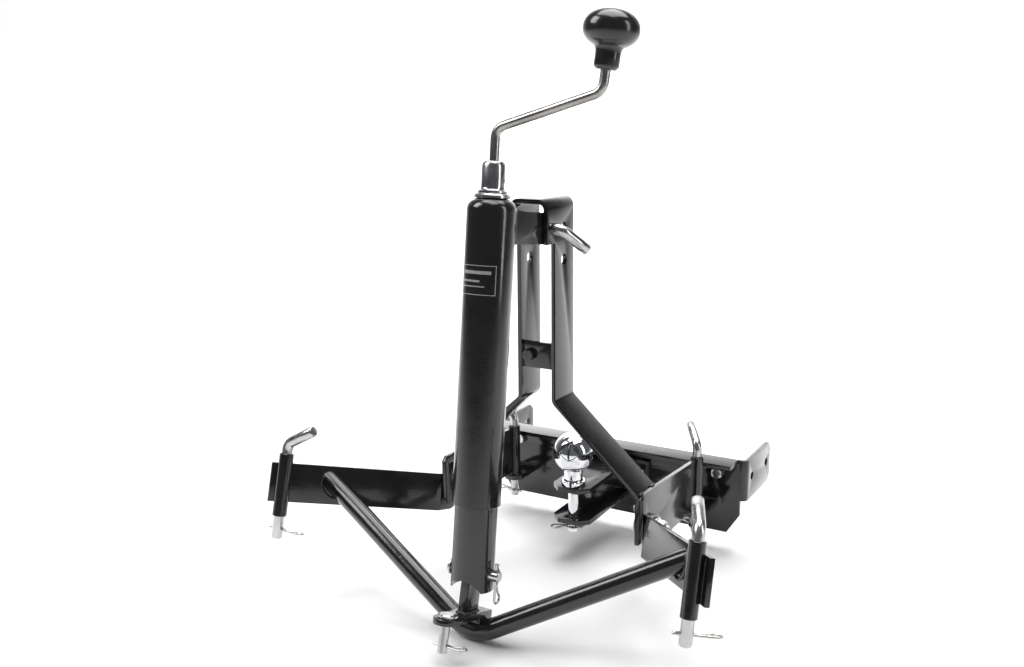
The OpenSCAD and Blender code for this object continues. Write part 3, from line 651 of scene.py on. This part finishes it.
# the crank: a drawn bar bent twice
bm = bmesh.new()
end = (CRANK_REACH + CRANK_END * math.tan(math.radians(GRIP)), 0, CRANK_Z2 + CRANK_END)
corner = [Vector((0, 0, 12)), Vector((0, 0, CRANK_Z1)), Vector((CRANK_REACH, 0, CRANK_Z2)), Vector(end)]
rc = CRANK_BEND
path = [corner[0], corner[0] + Vector((0, 0, 0.8))]
for i in (1, 2):
    p = corner[i]
    d0 = (p - corner[i - 1]).normalized()
    d1 = (corner[i + 1] - p).normalized()
    half = d0.angle(d1) / 2
    cut = rc * math.tan(half)
    nrm = (d1 - d0).normalized()
    mid = p + nrm * (rc / math.cos(half))
    a, b = (p - d0 * cut) - mid, (p + d1 * cut) - mid
    for k in range(15):
        u = k / 14
        swept = a * math.sin((1 - u) * 2 * half) + b * math.sin(u * 2 * half)
        path.append(mid + swept / math.sin(2 * half))
path += [corner[3] - (corner[3] - corner[2]).normalized() * 0.8, corner[3]]
rad = [4.3] + [5.0] * (len(path) - 2) + [4.3]
tube(bm, [p * MM for p in path], [r * MM for r in rad], 36)
bm.transform(JACK)
finish_mesh("v_crank_rod", bm, "crank_steel", BODY_OF["crank_rod"], ("crank_rod",), smooth=40)

# the knob: a flattened ball on a short neck
bm = bmesh.new()
prof = [(5.09, 34), (5.09, 0.4), (5.6, 0), (9.2, 0), (10.0, 0.4), (12.0, 2.9), (12.35, 3.9),
        (12.35, 15), (12.6, 17.6), (13.3, 19.7)]
for i in range(41):
    a = -60 + 150 * i / 40
    c, s = math.cos(math.radians(a)), math.sin(math.radians(a))
    e = 0.92
    prof.append((27.5 * max(c, 0) ** e, 38 + 19 * math.copysign(abs(s) ** e, s)))
prof[-1] = (0, 57)
lathe(bm, prof, KNOB, 80)
lathe(bm, [(5.09, 34), (0, 34)], KNOB, 80)
bmesh.ops.remove_doubles(bm, verts=bm.verts, dist=1e-6)
finish_mesh("v_knob", bm, "knob_black", BODY_OF["knob"], ("knob",), smooth=40)


# ------------------------------------------------------------------ weld beads
def resample(pts, step):
    out, carry = [pts[0]], 0.0
    for a, b in zip(pts, pts[1:]):
        l = (b - a).length
        d = step - carry
        while d <= l:
            out.append(a + (b - a) * (d / l))
            d += step
        carry = (carry + l) % step
    return out


def bead(bm, pts, r, place=ONE, closed=False):
    """A rippled run of weld along points in mm."""
    pts = [Vector(p) for p in pts]
    if closed:
        pts = pts + [pts[0]]
    fine = resample(pts, 0.45)
    if closed and (fine[-1] - fine[0]).length < 0.3:
        fine.pop()
    n = len(fine)
    phase = rng.random() * 6
    rad = []
    for i in range(n):
        u = i * 0.45 / 2.1 + phase
        ripple = 0.86 + 0.20 * (1 - (u % 1.0)) ** 1.5 + 0.05 * math.sin(i * 0.11 + phase)
        taper = 1.0 if closed else min(1.0, 0.45 + min(i, n - 1 - i) * 0.13)
        rad.append(r * MM * ripple * taper)
    sub = bmesh.new()
    tube(sub, [p * MM for p in fine], rad, 10, closed)
    sub.transform(place)
    me = bpy.data.meshes.new("tmp")
    sub.to_mesh(me)
    sub.free()
    bm.from_mesh(me)
    bpy.data.meshes.remove(me)


# lifting frame
bm = bmesh.new()
for s in S:
    n = Vector((s * COS, SIN, 0))
    u = Vector((s * SIN, -COS, 0))
    axis = Vector((s * SLEEVE_X, SLEEVE_Y, 0))
    for k in S:
        foot = axis + n * 8.0 + u * (k * 4.4)
        bead(bm, [foot + Vector((0, 0, z)) for z in (-30, 14)], 1.7, FRAME)
    # where the V tube meets the arm's inner face
    tilt = turn(-3.8, "X")
    a = Vector((0, -127, -5)) + tilt @ Vector((0, 0, -125.4))
    b = Vector((0, -127, -5)) + tilt @ Vector((s * 240, 0, 8))
    d = (b - a).normalized()
    face = Vector((s * ARM_X, -23, 0)) - n * 2.5
    e1 = d.cross(Vector((0, 1, 0))).normalized()
    e2 = d.cross(e1)
    ring = []
    for k in range(60):
        th = 2 * math.pi * k / 60
        p = a + (e1 * math.cos(th) + e2 * math.sin(th)) * 11.6
        ring.append(p + d * ((face - p).dot(n) / d.dot(n)) - n * 0.4)
    bead(bm, ring, 1.9, FRAME, closed=True)
lug_x, lug_y0, lug_y1, lug_z = 5.3, -165.4, -139.8, -101
bead(bm, [(-lug_x, lug_y0, lug_z), (lug_x, lug_y0, lug_z), (lug_x, lug_y1, lug_z), (-lug_x, lug_y1, lug_z)],
     1.8, FRAME, closed=True)
for s in S:
    ring = [(s * 13.9, -134.7 + 10.9 * math.cos(math.radians(a)), -121.5 + 10.9 * math.sin(math.radians(a)))
            for a in range(52, 129, 6)]
    bead(bm, ring, 1.6, FRAME)
finish_mesh("welds_frame", bm, "black_paint", "lifting_frame", smooth=60)

# jack: where the mount lug meets the tube
bm = bmesh.new()
prof = []
top, low, hw = -11.3, -45.7, 18.2
for x in [hw - 2 * hw * i / 24 for i in range(25)]:
    prof.append((x, math.sqrt(25.7 ** 2 - x * x), top))
for z in [top - (top - low) * i / 10 for i in range(1, 10)]:
    prof.append((-hw, math.sqrt(25.7 ** 2 - hw * hw), z))
for x in [-hw + 2 * hw * i / 24 for i in range(25)]:
    prof.append((x, math.sqrt(25.7 ** 2 - x * x), low))
for z in [low + (top - low) * i / 10 for i in range(1, 10)]:
    prof.append((hw, math.sqrt(25.7 ** 2 - hw * hw), z))
bead(bm, prof, 1.9, JACK, closed=True)
finish_mesh("welds_jack", bm, "black_paint", "jack", smooth=60)

# hitch: sleeves, tabs and the ball bracket
bm = bmesh.new()
for s in S:
    for k in S:
        bead(bm, [(s * REAR_X + k * 3.2, -52.6, z) for z in (-4, 58)], 1.5)
        bead(bm, [(s * REAR_X + k * 4.6, -38.1, z) for z in (45, 50)], 1.5)
    bead(bm, [(s * REAR_X - 14, -5.6, -8), (s * REAR_X + 14, -5.6, -8)], 1.8)
    bead(bm, [(s * REAR_X - 14, -5.6, -14), (s * REAR_X + 14, -5.6, -14)], 1.8)
    ring = [(s * REAR_X + 8.1 * math.cos(math.radians(a)), -44.75 + 8.1 * math.sin(math.radians(a)), -8)
            for a in range(0, 360, 10)]
    bead(bm, ring, 1.3, ONE, closed=True)
    for y in (-208, -178):
        bead(bm, [(s * 127.6, y - 5, 66.9), (s * 127.6, y + 5, 66.9)], 1.4)
    for y in (-213.4, -207.6):
        bead(bm, [(s * 18.4, y, 196.5), (s * 18.4, y, 223.5)], 1.2)
for z in (26, 20, -15, -21):
    bead(bm, [(-25, -11.4, z), (25, -11.4, z)], 1.9)
finish_mesh("welds_hitch", bm, "black_paint", "hitch", smooth=60)

# ------------------------------------------------------------------ plain label on the jack tube
m, t, b = material("label_film")
v = coords(t)
b.inputs["Metallic"].default_value = 0.35
c = ramp(t, noise(t, v, 500, 3, 0.6), 0.3, 0.7)
t.links.new(mix_colour(t, c, (0.34, 0.34, 0.35), (0.46, 0.46, 0.46)), b.inputs["Base Color"])
t.links.new(ramp(t, noise(t, v, 90, 4, 0.6), 0.3, 0.7, 0.26, 0.40), b.inputs["Roughness"])
LABEL = m
LABEL_R = 25.56


def patch(bm, a0, a1, z0, z1, r):
    """A thin printed shape on the jack tube, between two angles and two heights."""
    n = max(2, int(abs(a1 - a0) / 3))
    turns = [math.radians(a0 + (a1 - a0) * i / n) for i in range(n + 1)]
    rows = [[bm.verts.new(JACK @ Vector((r * MM * math.sin(a), -r * MM * math.cos(a), z * MM)))
             for a in turns] for z in (z0, z1)]
    ring_faces(bm, rows[0], rows[1], closed=False)


bm = bmesh.new()
za, zb, aa, ab = -97, -67, -50, 50
w, wa = 0.8, 1.8
patch(bm, aa, ab, za, za + w, LABEL_R)
patch(bm, aa, ab, zb - w, zb, LABEL_R)
patch(bm, aa, aa + wa, za + w, zb - w, LABEL_R)
patch(bm, ab - wa, ab, za + w, zb - w, LABEL_R)
for z, a0, a1, h in ((-76, -38, 38, 3.4), (-84, -38, 12, 2.0), (-89, -38, 24, 1.2)):
    patch(bm, a0, a1, z, z + h, LABEL_R)
finish_mesh("label_jack", bm, LABEL, "jack", smooth=60)

# ------------------------------------------------------------------ stage, lights, camera
lo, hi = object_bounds()
floor_z = lo.z - 0.0004


def stage_material(name, colour, rough):
    m, t, b = material(name)
    v = coords(t)
    c = ramp(t, noise(t, v, 3.0, 3, 0.5), 0.3, 0.7)
    light = tuple(min(1.0, x * 1.02) for x in colour)
    t.links.new(mix_colour(t, c, colour, light), b.inputs["Base Color"])
    b.inputs["Roughness"].default_value = rough
    b.inputs["Specular IOR Level"].default_value = 0.25
    return m


bm = bmesh.new()
prof = [(-4.0, 0.0), (2.6, 0.0)]
for i in range(1, 13):
    a = math.radians(90 * i / 12)
    prof.append((2.6 + 1.4 * math.sin(a), 1.4 - 1.4 * math.cos(a)))
prof.append((4.0, 5.0))
rows = [[bm.verts.new((x, y, floor_z + z)) for x in (-9, 9)] for y, z in prof]
for a, b2 in zip(rows, rows[1:]):
    bm.faces.new((a[0], a[1], b2[1], b2[0]))
for f in bm.faces:
    f.smooth = True
me = bpy.data.meshes.new("floor")
bm.to_mesh(me)
bm.free()
floor = bpy.data.objects.new("floor", me)
floor.rotation_euler = (0, 0, math.radians(30))
bpy.context.scene.collection.objects.link(floor)
me.materials.append(stage_material("floor_pale", (0.90, 0.90, 0.90), 0.6))


def area(name, loc, aim, size, power, colour=(1, 1, 1)):
    d = bpy.data.lights.new(name, "AREA")
    d.shape = "RECTANGLE"
    d.size, d.size_y = size
    d.energy = power
    d.color = colour
    ob = bpy.data.objects.new(name, d)
    ob.location = loc
    ob.rotation_mode = "QUATERNION"
    ob.rotation_quaternion = (Vector(aim) - Vector(loc)).to_track_quat("-Z", "Y")
    bpy.context.scene.collection.objects.link(ob)
    return ob


area("key", (-1.5, -1.3, 1.9), (0, -0.2, 0.15), (1.1, 1.4), 34)
area("side", (1.9, -0.1, 0.9), (0, -0.15, 0.15), (0.35, 1.6), 8)
area("top", (0.1, 0.2, 2.6), (0, -0.1, 0), (2.2, 2.2), 72)
area("back", (-0.9, 1.4, 2.6), (-1.4, 3.6, 0.6), (3.6, 1.6), 170)

world = bpy.data.worlds.new("studio")
bpy.context.scene.world = world
world.use_nodes = True
wt = world.node_tree
bg = wt.nodes["Background"]
bg.inputs["Color"].default_value = (0.93, 0.95, 1.0, 1)
bg.inputs["Strength"].default_value = 0.12

cam = bpy.data.objects.new("camera", bpy.data.cameras.new("camera"))
bpy.context.scene.collection.objects.link(cam)
yaw, pitch, roll = math.radians(30.54), math.radians(13.02), math.radians(-0.67)
fwd = Vector((-math.sin(yaw) * math.cos(pitch), math.cos(yaw) * math.cos(pitch), -math.sin(pitch)))
right = Vector((math.cos(yaw), math.sin(yaw), 0))
up = right.cross(fwd)
r2 = right * math.cos(roll) + up * math.sin(roll)
u2 = up * math.cos(roll) - right * math.sin(roll)
rot = Matrix((r2, u2, -fwd)).transposed()
cam.matrix_world = Matrix.Translation((0.5611, -1.2193, 0.5016)) @ rot.to_4x4()
cam.data.sensor_width = 36
cam.data.lens = 37.18
cam.data.clip_start, cam.data.clip_end = 0.05, 30
bpy.context.scene.camera = cam
bpy.context.scene.view_settings.view_transform = "Standard"
